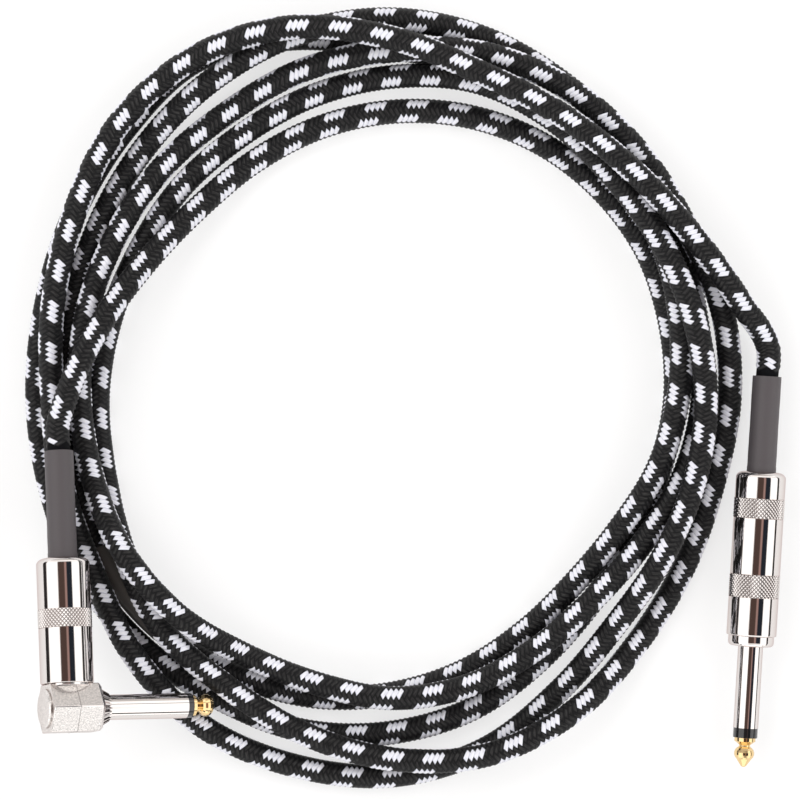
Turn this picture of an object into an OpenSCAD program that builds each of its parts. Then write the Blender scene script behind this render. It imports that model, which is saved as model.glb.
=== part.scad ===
// Instrument cable: a braided cord laid in a loose coil, with a straight
// 6.35 mm phone plug on one end and a right-angle one on the other.
// Millimetres, +Z up, the coil lying on the plane z = 0.

/* [Cord] */
// Diameter of the braided cord
cord_d = 6.3; // [5.8:0.1:6.3]
// Rise from one strand to the next one lying on it
layer = 6.8; // [6.8:0.1:7.4]
// Wall of the plain marker sleeve on the cord
marker_wall = 0.2; // [0.15:0.01:0.22]
// Length of the marker sleeve along the cord
marker_len = 27; // [18:1:34]

/* [Plug shaft] */
// Diameter of the sleeve contact, the part that enters a jack
shaft_d = 6.35; // [6.3:0.01:6.4]
// Length of the sleeve contact, from its shoulder to the ring
shaft_len = 20.8; // [20:0.1:22]
// Length of the black insulating ring
ring_len = 2.5; // [1.5:0.1:3]
// Length of the tip contact
tip_len = 7.5; // [7:0.1:8]
// Diameter of the tip's ball
ball_d = 5.2; // [5:0.1:5.8]
// Diameter of the tip's neck
neck_d = 2.8; // [2.6:0.1:3.2]
// Diameter of the rod that joins the tip to its solder tag
rod_d = 2.3; // [1.8:0.1:2.4]

/* [Straight plug] */
// Outside diameter of the straight barrel
straight_d = 12.7; // [12.6:0.1:13.6]
// Length of the straight barrel
straight_len = 41.7; // [38.7:0.5:43.7]
// Diameter of the body flange ahead of the barrel
flange_d = 11.6; // [11.2:0.1:12.4]
// Length of the body flange
flange_len = 2.6; // [2:0.1:3.5]
// Heat-shrink showing behind the straight barrel
straight_shrink_len = 24.3; // [22.3:0.5:27.3]

/* [Right-angle plug] */
// Outside diameter of the right-angle barrel
angle_d = 13.4; // [12.8:0.1:13.8]
// Length of the right-angle barrel
angle_len = 31.5; // [29:0.5:33]
// Elbow block, across its flats
elbow_af = 12; // [11.4:0.1:12.6]
// Elbow block, along the shaft
elbow_len = 13.8; // [13.4:0.1:14.6]
// From the barrel's axis to the block's middle, towards the shaft
elbow_shift = 1.1; // [0.9:0.1:1.3]
// Diameter of the serrated collar where it meets the elbow
collar_d = 10; // [9.6:0.1:10.2]
// Diameter of the serrated collar where it meets the shaft
collar_front_d = 7.4; // [7.3:0.1:8]
// Length of the serrated collar
collar_len = 2.4; // [2:0.1:3]
// Teeth round the collar
collar_teeth = 26; // [20:1:30]
// Diameter of the cap in the elbow's back
cap_d = 9.8; // [9.4:0.1:10.2]
// Black ring between the right-angle plug's contacts
angle_ring_len = 1.5; // [1.2:0.1:2]
// Its tip contact, from the ring to the point
angle_tip_len = 6.4; // [6.2:0.1:6.8]
// Widest diameter of its tip contact
angle_ball_d = 5.7; // [5.3:0.1:5.9]
// Heat-shrink showing behind the right-angle barrel
angle_shrink_len = 27; // [24:0.5:29]

/* [Inside the plugs] */
// Wall of the barrels round the liner
barrel_wall = 1; // [0.9:0.05:1.2]
// Wall of the plastic liner
liner_wall = 0.7; // [0.5:0.05:0.8]
// Length of the thread that each barrel screws on
thread_len = 6; // [4:0.5:7]
// Depth of each barrel's rounded back wall
back_wall = 3.2; // [2.6:0.1:4]
// Wall of the heat-shrink sleeves
shrink_wall = 0.45; // [0.3:0.05:0.5]
// Heat-shrink hidden inside each barrel
shrink_inside = 5; // [4:0.5:8]
// Thickness of the solder tags
tag_t = 0.5; // [0.4:0.05:0.6]
// Diameter of the insulated core wire
core_d = 1.8; // [1.4:0.1:2]

/* [Hidden] */
$fn = 48;

// Clearances: a sliding fit, a push fit, and between faces that meet across a joint
slide_gap = 0.1;
push_gap = 0.05;
face_gap = 0.05;

// Colours
nickel = [0.78, 0.76, 0.74];
cast_nickel = [0.72, 0.69, 0.66];
gold = [0.86, 0.66, 0.28];
black_plastic = [0.05, 0.05, 0.05];
shrink_grey = [0.29, 0.27, 0.27];
braid_black = [0.06, 0.06, 0.07];
marker_grey = [0.2, 0.2, 0.21];
liner_clear = [0.85, 0.87, 0.88];
fibre = [0.45, 0.3, 0.18];
solder_tin = [0.66, 0.67, 0.7];
core_white = [0.9, 0.89, 0.85];
shield_copper = [0.72, 0.45, 0.3];

// Radii that the pieces share
cord_r = cord_d / 2;
shrink_bore = cord_r + push_gap;
shrink_r = shrink_bore + shrink_wall;
back_hole_r = shrink_r + 4 * slide_gap;
function bore_of(barrel_d) = barrel_d / 2 - barrel_wall;
function thread_r(barrel_d) = bore_of(barrel_d) - slide_gap;
function liner_r(barrel_d) = bore_of(barrel_d) - slide_gap;
function liner_bore(barrel_d) = liner_r(barrel_d) - liner_wall;

// How far a knurled band stands proud of its barrel
band_rise = 0.12;

// Where the plugs lie. The straight one rests on its barrel's knurled bands. The right-angle one is
// propped on the loops, its shaft dipping and its barrel falling towards the cord.
coil_at = [-5.27, 44];
straight_at = [85.83, -19, straight_d / 2 + band_rise];
straight_heading = 266.5;
elbow_at = [-85.97, -33.3, 25.5];
elbow_turn = 2.7;
elbow_fall = 7.6;
shaft_dip = 24.5;
straight_reach = flange_len + face_gap + straight_len + straight_shrink_len;
angle_front = elbow_af / 2 + face_gap;
angle_reach = angle_front + angle_len + angle_shrink_len;

// The cord's route, one list a turn and one [radius, layers up] every 15 degrees
// anticlockwise from +X about the coil's centre. The first and the last turn are part turns.
station = 15;
turns = [
    [[91.5, 1.4], [85.5, 2.15], [83, 2.4], [83, 2.1], [85, 1.9], [90.5, 2.1],
     [96.5, 2.1], [99.5, 1.3], [98, 1], [93, 1], [89, 1], [86, 1],
     [86.4, 1], [87.6, 1], [92.4, 1], [96.4, 0.35], [97, 0], [96.3, 0],
     [92.5, 0], [85.8, 0.1], [80.8, 0.6], [79.2, 1.55], [79.2, 1.65]],
    [[79.3, 1.5], [78.6, 1.95], [78.4, 1.85], [79, 1.55], [81.5, 1], [83, 0.85],
     [81.8, 0.2], [79.6, 0], [77.2, 0], [76, 0], [74.6, 0], [74.5, 0],
     [75, 0], [75.8, 0], [78.4, 0.82], [82.5, 1.12], [84.2, 1], [87.8, 1],
     [91.5, 0.9], [93.5, 1.05], [91.8, 0.95], [88.4, 0], [86, 0], [84.8, 0]],
    [[86.1, 0], [86.8, 0.6], [86.2, 0.95], [88.2, 1], [90.2, 1], [90.3, 1],
     [88, 1], [86.3, 0.6], [84, 0], [82.8, 0.25], [81.3, 0.6], [80.3, 0.8],
     [79.2, 0.8], [78.5, 1], [78, 1.88], [76.8, 1.87], [75.1, 0.72], [74.8, 0.9],
     [76, 1.05], [75.4, 0.9], [73.3, 0.9], [72.1, 1.05], [73.4, 0.95], [76.6, 0.7]],
    [[79.2, 0], [80.3, 0], [83.5, 0], [87.8, 0], [91, 0], [94.6, 0],
     [96, 0.75], [95.2, 1.05], [92.6, 0.75], [89.7, 0], [86.7, 0], [84.6, 0],
     [83.6, 0], [83.3, 0.07], [84, 0.07], [83.1, 0.07], [81, 0.07], [78.7, 0],
     [75.4, 0], [71.9, 0], [68.3, 0], [66, 0.4], [66.5, 0.8], [69.6, 1]],
    [[72.5, 1], [75.6, 1], [78.8, 0.85], [81, 0.6], [82.6, 0], [87.5, 0],
     [89.2, 0], [94.9, 0], [99.4, 0], [96.6, 0], [93.7, 0], [91.4, 0],
     [90.5, 0], [90.2, 0], [90.8, 0], [89.9, 0], [88.4, 0], [87.8, 0],
     [85.3, 0], [81.7, 0], [76.5, 0], [72.6, 0], [71, 0], [70.7, 0]],
    [[72.2, 0], [73.4, 0], [74.9, 0], [75.3, 0], [75.2, 0], [74.4, 0],
     [73, 0], [71.4, 0], [69.8, 0], [69, 0.4], [70.9, 0.9], [75.4, 1.65], [82, 2]]
];
stations = [for (t = turns) for (s = t) s];

// The cord lies on the ground with its underside flattened by a tenth of its diameter
bed_z = 0.4 * cord_d;
function route_point(i) =
    let (a = station * (i + 1), r = stations[i][0])
    [coil_at.x + r * cos(a), coil_at.y + r * sin(a), bed_z + layer * stations[i][1]];

// Unit vectors from each plug back along its cord
straight_back = -[cos(straight_heading), sin(straight_heading), 0];
angle_back = [
    -sin(elbow_turn) * cos(elbow_fall), cos(elbow_turn) * cos(elbow_fall), -sin(elbow_fall)
];
straight_mouth = straight_at + straight_reach * straight_back;
angle_mouth = elbow_at + angle_reach * angle_back;

// The cord leaves each plug straight for one diameter
route = concat(
    [straight_mouth, straight_mouth + cord_d * straight_back],
    [for (i = [0:len(stations) - 1]) route_point(i)],
    [angle_mouth + cord_d * angle_back, angle_mouth]
);

/* Sweeping and measuring */

function unit(v) = v / norm(v);
function along(path, i) =
    unit(path[min(i + 1, len(path) - 1)] - path[max(i - 1, 0)]);

sides = 6;
// One ring of a tube: a hexagon with a flat side down, never below the ground
function ring(centre, way, r) =
    let (side = unit(cross(way, [0, 0, 1])), up = cross(side, way))
    [for (k = [0:sides - 1])
        let (p = centre + r * (cos(60 * k) * side + sin(60 * k) * up))
        [p.x, p.y, max(p.z, 0)]];

// Triangles between ring a and ring b, and over a flat end
function wall(a, b, flip = false) = [
    for (k = [0:sides - 1])
        let (n = (k + 1) % sides)
        for (t = [[a + k, b + k, b + n], [a + k, b + n, a + n]])
            flip ? [t[2], t[1], t[0]] : t
];
function end_face(a, flip = false) = [
    for (k = [1:sides - 2]) flip ? [a, a + k + 1, a + k] : [a, a + k, a + k + 1]
];

module tube(path, r) {
    rings = len(path);
    points = [for (i = [0:rings - 1]) each ring(path[i], along(path, i), r)];
    faces = concat(
        end_face(0, true),
        [for (i = [0:rings - 2]) each wall(i * sides, (i + 1) * sides, true)],
        end_face((rings - 1) * sides)
    );
    polyhedron(points, faces, convexity = 10);
}

// A tube with a bore, closed by a band at each end
module hollow_tube(path, r, bore) {
    rings = len(path);
    inner = rings * sides;
    last = (rings - 1) * sides;
    points = concat(
        [for (i = [0:rings - 1]) each ring(path[i], along(path, i), r)],
        [for (i = [0:rings - 1]) each ring(path[i], along(path, i), bore)]
    );
    faces = concat(
        [for (i = [0:rings - 2]) each wall(i * sides, (i + 1) * sides, true)],
        [for (i = [0:rings - 2]) each wall(inner + i * sides, inner + (i + 1) * sides)],
        wall(0, inner),
        wall(last, inner + last, true)
    );
    polyhedron(points, faces, convexity = 10);
}

// Least gap between strands, on four points a segment, past a reach along the cord
probes = 4;
reach_rings = 3;
function probe(path, q) =
    let (i = floor(q / probes), f = q / probes - i)
    path[i] * (1 - f) + path[min(i + 1, len(path) - 1)] * f;
function least_gap(path) =
    let (count = probes * (len(path) - 1), pts = [for (q = [0:count]) probe(path, q)])
    min([for (q = [0:count - probes * reach_rings])
        min([for (w = [q + probes * reach_rings:count]) norm(pts[q] - pts[w])])]) - cord_d;
function path_length(path) =
    let (steps = [for (i = [1:len(path) - 1]) norm(path[i] - path[i - 1])])
    steps * [for (s = steps) 1];

/* The cord */

module cable_coil() {
    color(braid_black) tube(route, cord_r);
    echo(least_gap_mm = least_gap(route), coiled_length_mm = path_length(route));
}

// The sleeve starts at this share of the way from one station to the next
marker_station = 86;
marker_start = 0.8;
module marker_sleeve() {
    a = route[marker_station];
    b = route[marker_station + 1];
    c = route[marker_station + 2];
    d = route[marker_station + 3];
    start = a + marker_start * (b - a);
    left = marker_len - norm(b - start) - norm(c - b);
    path = [start, b, c, c + left * unit(d - c)];
    bore = cord_r + slide_gap;
    color(marker_grey) hollow_tube(path, bore + marker_wall, bore);
}

/* Placing. Plug pieces have z = 0 at the plug's seat, +z towards the tip, -z to the cord */

module at_straight() translate(straight_at) rotate([0, 90, straight_heading]) children();
module at_elbow()
    translate(elbow_at) rotate([0, 0, elbow_turn]) rotate([-elbow_fall, 0, 0])
        rotate([0, shaft_dip, 0]) children();
// Along the shaft of the right-angle plug, z = 0 at the collar's front
module at_angle_shaft()
    at_elbow() translate([seat_a, 0, 0]) rotate([0, 90, 0]) children();
// Along its barrel, z = 0 in the elbow's middle
module at_angle_barrel() at_elbow() rotate([90, 0, 0]) children();

/* Turned pieces that both plugs share */

function arc(centre, r, from, to, steps = 6) = [
    for (k = [0:steps]) let (a = from + (to - from) * k / steps)
        centre + r * [cos(a), sin(a)]
];

// A washer or tube from z0 up to z1
module washer(r, bore, z0, z1) {
    translate([0, 0, z0]) difference() {
        cylinder(h = z1 - z0, r = r);
        translate([0, 0, -1]) cylinder(h = z1 - z0 + 2, r = bore);
    }
}

// The black ring behind the tip, and the tube that runs from it round the rod
core_bore = rod_d / 2 + 1;
ring_edge = 0.15;
module insulator_ring(tail, ring) {
    r = shaft_d / 2 - push_gap;
    top = shaft_len + ring;
    color(black_plastic) rotate_extrude() polygon(concat(
        [[rod_d / 2 + push_gap, top], [rod_d / 2 + push_gap, -tail]],
        [[core_bore - push_gap, -tail], [core_bore - push_gap, shaft_len], [r, shaft_len]],
        arc([r - ring_edge, top - ring_edge], ring_edge, 0, 90, 2)
    ));
}

// Shoulder, neck, ball and cone of the tip, with its rod and the rivet head behind
shoulder_r = 2.7;
shoulder_len = 0.9;
neck_at = 1.9;
ball_at = 4;
ball_round = 1.9;
point_r = 1;
rivet_r = 1.7;
rivet_len = 0.8;
module tip(rod_end, ring, length, ball) {
    base = shaft_len + ring;
    color(gold) rotate_extrude() polygon(concat(
        [[0, -rod_end - rivet_len], [rivet_r, -rod_end - rivet_len], [rivet_r, -rod_end]],
        [[rod_d / 2, -rod_end], [rod_d / 2, base], [shoulder_r, base]],
        [[shoulder_r, base + shoulder_len], [neck_d / 2, base + neck_at]],
        arc([ball / 2 - ball_round, base + ball_at], ball_round, -65, 50, 6),
        arc([0, base + length - point_r], point_r, 45, 90, 3)
    ));
}

// A barrel: rounded back shoulder, raised bands where it is knurled, bore open in front.
// Each band is its nearer and farther edge from z = 0, the farther band first
band_edge = 0.3;
shoulder_w = 2.2;
shoulder_drop = 1.6;
front_edge = 0.3;
module barrel(d, front, length, bands) {
    r = d / 2;
    back = -front - length;
    bore = bore_of(d);
    steps = 7;
    color(nickel) rotate_extrude() polygon(concat(
        [[back_hole_r, back]],
        [for (k = [0:steps]) let (a = 90 - 90 * k / steps)
            [r - shoulder_w + shoulder_w * cos(a), back + shoulder_drop * (1 - sin(a))]],
        [for (b = bands) each [
            [r, -b[1]], [r + band_rise, -b[1] + band_edge],
            [r + band_rise, -b[0] - band_edge], [r, -b[0]]
        ]],
        [[r, -front - front_edge], [r - front_edge, -front], [bore, -front]],
        [[bore, back + back_wall + 0.8], [back_hole_r, back + back_wall]]
    ));
}

// The plastic liner fills the barrel's bore from behind the thread to the back wall
liner_room = 0.4;
module liner(d, front, length) {
    color(liner_clear) washer(
        liner_r(d), liner_bore(d),
        -front - length + back_wall + 2 * liner_room, -front - thread_len - liner_room
    );
}

module heat_shrink(reach, shown) {
    lip = 0.15;
    end = shown + shrink_inside - reach;
    color(shrink_grey) rotate_extrude() polygon([
        [shrink_bore, -reach], [shrink_r - lip, -reach], [shrink_r, -reach + lip],
        [shrink_r, end], [shrink_bore, end]
    ]);
}

// The cord's own end, from the heat-shrink's mouth to where its jacket is stripped
module jacket_end(reach, stop) {
    color(braid_black) translate([0, 0, -reach]) cylinder(h = reach - stop, r = cord_r);
}

/* Tags and wires. Each ground tag ends in a clamp folded round the jacket */

tag_r = 3.6;
insulator_r = 3;
insulator_t = 1.2;
strap_w = 3;
lug_w = 2.2;
clamp_len = 4.5;
clamp_back = 6;
clamp_slit = 1.2;
strap_x = cord_r + push_gap;
shield_d = 1.4;
wire_bare = 4;

module clamp(stop) {
    translate([0, 0, -stop - clamp_back]) difference() {
        cylinder(h = clamp_len, r = strap_x + tag_t);
        translate([0, 0, -1]) cylinder(h = clamp_len + 2, r = strap_x);
        translate([-2 * strap_x, -clamp_slit / 2, -1])
            cube([2 * strap_x, clamp_slit, clamp_len + 2]);
    }
}

// The strap's straight run beside the cord, from z back to the clamp
module strap(z, stop) {
    end = stop + clamp_back - clamp_len;
    translate([strap_x, -strap_w / 2, -end]) cube([tag_t, strap_w, end + z]);
}

// The core wire lies against the inner face of the lug at lug_x
module core_wire(lug_x, from, stop) {
    color(core_white) translate([lug_x, 0, -stop]) cylinder(h = stop - from, r = core_d / 2);
}
module shield_pigtail(stop) {
    color(shield_copper) translate([pigtail_x, 0, -stop])
        cylinder(h = wire_bare, r = shield_d / 2);
}

// Solder round the end of a wire of diameter d at x, cleared for the wire
solder_len = 2;
solder_wall = 0.35;
solder_back = 0.5;
pigtail_x = strap_x - push_gap - shield_d / 2;
module solder_joint(x, d, z) {
    translate([x, 0, z]) difference() {
        cylinder(h = solder_len, r = d / 2 + solder_wall);
        translate([0, 0, -1]) cylinder(h = solder_len + 2, r = d / 2 + push_gap / 2);
    }
}

module pigtail_joint(stop)
    solder_joint(pigtail_x, shield_d, -stop + wire_bare - solder_len - solder_back);
// The room that a tag takes up, from its face at x, where no solder runs
module tag_side(x, stop)
    translate([x, -strap_w, -stop]) cube([tag_t, 2 * strap_w, stop]);

/* Straight plug: z = 0 at the shaft's shoulder */

straight_bands = [[32.5, 37.6], [12.4, 18.3]];
straight_front = flange_len + face_gap;
flange_round = 1;
stack_s = flange_len + thread_len;
rod_end_s = stack_s + 2 * tag_t + insulator_t;
jacket_room_s = 13;
stop_s = stack_s + jacket_room_s;
lug_x_s = -2.1;
lug_len = 5.5;

module straight_body() {
    color(nickel) at_straight() {
        rotate_extrude() polygon(concat(
            [[core_bore, -flange_len], [core_bore, shaft_len], [shaft_d / 2, shaft_len]],
            [[shaft_d / 2, 0]],
            arc([flange_d / 2 - flange_round, -flange_round], flange_round, 90, 0, 4),
            [[flange_d / 2, -flange_len]]
        ));
        washer(thread_r(straight_d), core_bore, -stack_s, -flange_len);
    }
}
module straight_barrel()
    at_straight() barrel(straight_d, straight_front, straight_len, straight_bands);
module straight_liner() at_straight() liner(straight_d, straight_front, straight_len);
module straight_heat_shrink() at_straight() heat_shrink(straight_reach, straight_shrink_len);
module straight_insulator_ring() at_straight() insulator_ring(stack_s, ring_len);
module straight_tip() at_straight() tip(rod_end_s, ring_len, tip_len, ball_d);
module straight_rear_insulator()
    color(fibre) at_straight() washer(
        insulator_r, rod_d / 2 + push_gap, -stack_s - tag_t - insulator_t, -stack_s - tag_t
    );
module straight_ground_tag() {
    color(nickel) at_straight() {
        washer(tag_r, core_bore, -stack_s - tag_t, -stack_s);
        translate([tag_r - 1, -strap_w / 2, -stack_s - tag_t])
            cube([strap_x + tag_t - tag_r + 1, strap_w, tag_t]);
        strap(-stack_s, stop_s);
        clamp(stop_s);
    }
}
module straight_tip_tag() {
    color(nickel) at_straight() {
        washer(-lug_x_s + tag_t, rod_d / 2 + push_gap, -rod_end_s, -rod_end_s + tag_t);
        translate([lug_x_s - tag_t, -lug_w / 2, -rod_end_s - lug_len])
            cube([tag_t, lug_w, lug_len + tag_t]);
    }
}
module straight_jacket_end() at_straight() jacket_end(straight_reach, stop_s);
wire_x_s = lug_x_s + core_d / 2 + push_gap;
module straight_core_wire()
    at_straight() core_wire(wire_x_s, rod_end_s + rivet_len + 1, stop_s);
module straight_shield_pigtail() at_straight() shield_pigtail(stop_s);
module straight_solder() {
    color(solder_tin) at_straight() difference() {
        union() {
            solder_joint(wire_x_s, core_d, -rod_end_s - lug_len);
            pigtail_joint(stop_s);
        }
        tag_side(lug_x_s - tag_t, stop_s);
        tag_side(strap_x, stop_s);
    }
}

/* Right-angle plug. In the barrel's frame z = 0 is the elbow's middle and +x the shaft */

angle_bands = [[19.9, 24.6]];
chamber_r = 4.4;
chamber_front = 2.5;
tail_r = 3.6;
stub_floor = 1;
stub_bore = 4.5;
wire_way_r = 3.1;
elbow_back = elbow_shift - elbow_len / 2;
elbow_front = elbow_shift + elbow_len / 2;
seat_a = elbow_front + collar_len;
rod_end_a = seat_a - chamber_front + 2 * tag_t + insulator_t;
stub_end = angle_front + thread_len;
jacket_room_a = 8;
stop_a = stub_end + jacket_room_a;
bevel_len = 0.9;
bevel_in = 1;
cap_lip = 0.7;
cap_spigot = 2;

module elbow_block() {
    r = elbow_af / 2 / cos(30);
    rotate([0, 90, 0]) {
        translate([0, 0, elbow_back])
            cylinder(h = elbow_front - bevel_len - elbow_back, r = r, $fn = 6);
        translate([0, 0, elbow_front - bevel_len])
            cylinder(h = bevel_len, r1 = r, r2 = r - bevel_in, $fn = 6);
    }
}
module angle_elbow() {
    color(cast_nickel) at_elbow() difference() {
        union() {
            elbow_block();
            rotate([90, 0, 0]) translate([0, 0, -stub_end])
                cylinder(h = stub_end - elbow_af / 2 + 0.5, r = thread_r(angle_d));
        }
        rotate([0, 90, 0]) translate([0, 0, elbow_back - 1])
            cylinder(h = chamber_front + 1 - elbow_back, r = chamber_r);
        rotate([0, 90, 0]) cylinder(h = elbow_len, r = tail_r + push_gap);
        rotate([90, 0, 0]) translate([0, 0, -stub_end - 1])
            cylinder(h = stub_end + 1, r = wire_way_r);
        rotate([90, 0, 0]) translate([0, 0, -stub_end - 1])
            cylinder(h = stub_end + 1 - elbow_af / 2 - stub_floor, r = stub_bore);
    }
}
module angle_rear_cap() {
    back = elbow_back;
    r = cap_d / 2;
    color(cast_nickel) at_elbow() rotate([0, 90, 0]) rotate_extrude() polygon([
        [0, back - cap_lip - 0.15], [r / 2, back - cap_lip - 0.1], [r - 0.4, back - cap_lip],
        [r, back - cap_lip + 0.3], [r, back - push_gap], [chamber_r - push_gap, back - push_gap],
        [chamber_r - push_gap, back + cap_spigot], [0, back + cap_spigot]
    ]);
}
// The collar is a cone with teeth cut down its slope
tooth = 0.4;
tooth_half = 0.4;
module collar() {
    r = collar_d / 2;
    slope = atan((r - collar_front_d / 2) / collar_len);
    translate([0, 0, -collar_len]) difference() {
        cylinder(h = collar_len, r1 = r, r2 = collar_front_d / 2);
        for (k = [0:collar_teeth - 1])
            rotate([0, 0, 360 * k / collar_teeth]) translate([r, 0, 0]) rotate([0, -slope, 0])
                translate([0, 0, -1]) linear_extrude(height = 2 * collar_len + 2)
                    polygon([[-tooth, 0], [tooth / 2, -1.5 * tooth_half], [tooth / 2, 1.5 * tooth_half]]);
    }
}
module angle_shaft() {
    tail = seat_a - chamber_front;
    color(nickel) at_angle_shaft() difference() {
        union() {
            cylinder(h = shaft_len, r = shaft_d / 2);
            collar();
            translate([0, 0, -tail]) cylinder(h = tail, r = tail_r);
        }
        translate([0, 0, -tail - 1]) cylinder(h = tail + shaft_len + 2, r = core_bore);
    }
}
module angle_barrel() at_angle_barrel() barrel(angle_d, angle_front, angle_len, angle_bands);
module angle_liner() at_angle_barrel() liner(angle_d, angle_front, angle_len);
module angle_heat_shrink() at_angle_barrel() heat_shrink(angle_reach, angle_shrink_len);
module angle_insulator_ring()
    at_angle_shaft() insulator_ring(seat_a - chamber_front, angle_ring_len);
module angle_tip()
    at_angle_shaft() tip(rod_end_a, angle_ring_len, angle_tip_len, angle_ball_d);
module angle_rear_insulator()
    color(fibre) at_angle_shaft() washer(
        insulator_r, rod_d / 2 + push_gap, -rod_end_a + tag_t, -rod_end_a + tag_t + insulator_t
    );
ground_x = chamber_front - tag_t;
module angle_ground_tag() {
    color(nickel) {
        at_angle_shaft() washer(tag_r, core_bore, ground_x - seat_a, chamber_front - seat_a);
        at_angle_barrel() {
            translate([ground_x, -strap_w / 2, -stub_end - 1])
                cube([tag_t, strap_w, stub_end + 1 - core_bore - 0.5]);
            translate([ground_x, -strap_w / 2, -stub_end - 1 - tag_t])
                cube([strap_x + tag_t - ground_x, strap_w, tag_t]);
            strap(-stub_end - 1 - tag_t, stop_a);
            clamp(stop_a);
        }
    }
}
lug_x_a = chamber_front - 2 * tag_t - insulator_t;
module angle_tip_tag() {
    color(nickel) {
        at_angle_shaft() washer(
            insulator_r - 0.5, rod_d / 2 + push_gap, -rod_end_a, -rod_end_a + tag_t
        );
        at_angle_barrel() translate([lug_x_a, -lug_w / 2, -stub_end - 4])
            cube([tag_t, lug_w, stub_end + 4 - rod_d / 2 - 0.5]);
    }
}
module angle_jacket_end() at_angle_barrel() jacket_end(angle_reach, stop_a);
wire_x_a = lug_x_a - core_d / 2 - push_gap;
module angle_core_wire() at_angle_barrel() core_wire(wire_x_a, stub_end, stop_a);
module angle_shield_pigtail() at_angle_barrel() shield_pigtail(stop_a);
module angle_solder() {
    color(solder_tin) at_angle_barrel() difference() {
        union() {
            solder_joint(wire_x_a, core_d, -stub_end - 4);
            pigtail_joint(stop_a);
        }
        tag_side(lug_x_a, stop_a);
        tag_side(strap_x, stop_a);
    }
}

cable_coil();
marker_sleeve();
straight_heat_shrink();
straight_barrel();
straight_liner();
straight_body();
straight_insulator_ring();
straight_tip();
straight_rear_insulator();
straight_ground_tag();
straight_tip_tag();
straight_jacket_end();
straight_core_wire();
straight_shield_pigtail();
straight_solder();
angle_heat_shrink();
angle_barrel();
angle_liner();
angle_elbow();
angle_rear_cap();
angle_shaft();
angle_insulator_ring();
angle_tip();
angle_rear_insulator();
angle_ground_tag();
angle_tip_tag();
angle_jacket_end();
angle_core_wire();
angle_shield_pigtail();
angle_solder();
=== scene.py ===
"""Looks for the instrument cable: a braided cord in a loose coil, with a straight phone plug
on one end and a right-angle one on the other. Sizes are in millimetres until a mesh is made.
"""

import math

import bmesh
import bpy
import numpy as np
from mathutils import Matrix, Vector


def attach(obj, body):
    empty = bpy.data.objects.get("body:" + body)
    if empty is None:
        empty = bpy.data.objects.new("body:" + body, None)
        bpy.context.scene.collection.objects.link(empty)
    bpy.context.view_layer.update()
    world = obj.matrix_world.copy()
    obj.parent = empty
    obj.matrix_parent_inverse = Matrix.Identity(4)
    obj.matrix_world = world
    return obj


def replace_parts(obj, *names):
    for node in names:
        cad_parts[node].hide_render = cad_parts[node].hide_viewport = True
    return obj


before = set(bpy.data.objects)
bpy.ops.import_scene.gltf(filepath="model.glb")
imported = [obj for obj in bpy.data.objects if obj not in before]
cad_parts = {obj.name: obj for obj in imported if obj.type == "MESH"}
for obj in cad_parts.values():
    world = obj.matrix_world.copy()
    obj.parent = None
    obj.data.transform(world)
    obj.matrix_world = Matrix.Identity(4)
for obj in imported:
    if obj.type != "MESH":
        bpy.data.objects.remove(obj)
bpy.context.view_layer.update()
scene = bpy.context.scene
MM = 0.001              # the scene is in metres
ROOT = "cable_and_contacts"

# ---------------------------------------------------------------- camera

CAMERA_AT = (-0.00324, 0.04349, 1.0)    # straight above the coil, looking down
LENS, SENSOR = 176, 36
camera = bpy.data.objects.new("camera", bpy.data.cameras.new("camera"))
scene.collection.objects.link(camera)
scene.camera = camera
camera.location = CAMERA_AT
camera.data.sensor_width = SENSOR
camera.data.lens = LENS
camera.data.clip_start = 0.05
camera.data.clip_end = 20
scene.view_settings.view_transform = "Standard"

# ---------------------------------------------------------------- the cord's route

CORD_D = 6.3
LAYER = 6.8             # height from one layer of the coil to the next
BED_Z = 0.4 * CORD_D    # the centreline's height in the lowest layer
STATION = 15            # degrees from one point of the route to the next
COIL_AT = (-5.27, 44.0)
STRAIGHT_AT = (85.83, -19.0, 6.47)      # the shoulder of the straight plug's shaft
STRAIGHT_HEADING = 266.5                # where that plug points, in plan
STRAIGHT_REACH = 68.65                  # from the shoulder back to its heat-shrink's mouth
ELBOW_AT = (-85.97, -33.3, 25.5)        # where the right-angle plug's two axes meet
ELBOW_TURN, ELBOW_FALL, SHAFT_DIP = 2.7, 7.6, 24.5
ANGLE_REACH = 64.55                     # from the elbow back to its heat-shrink's mouth
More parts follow.
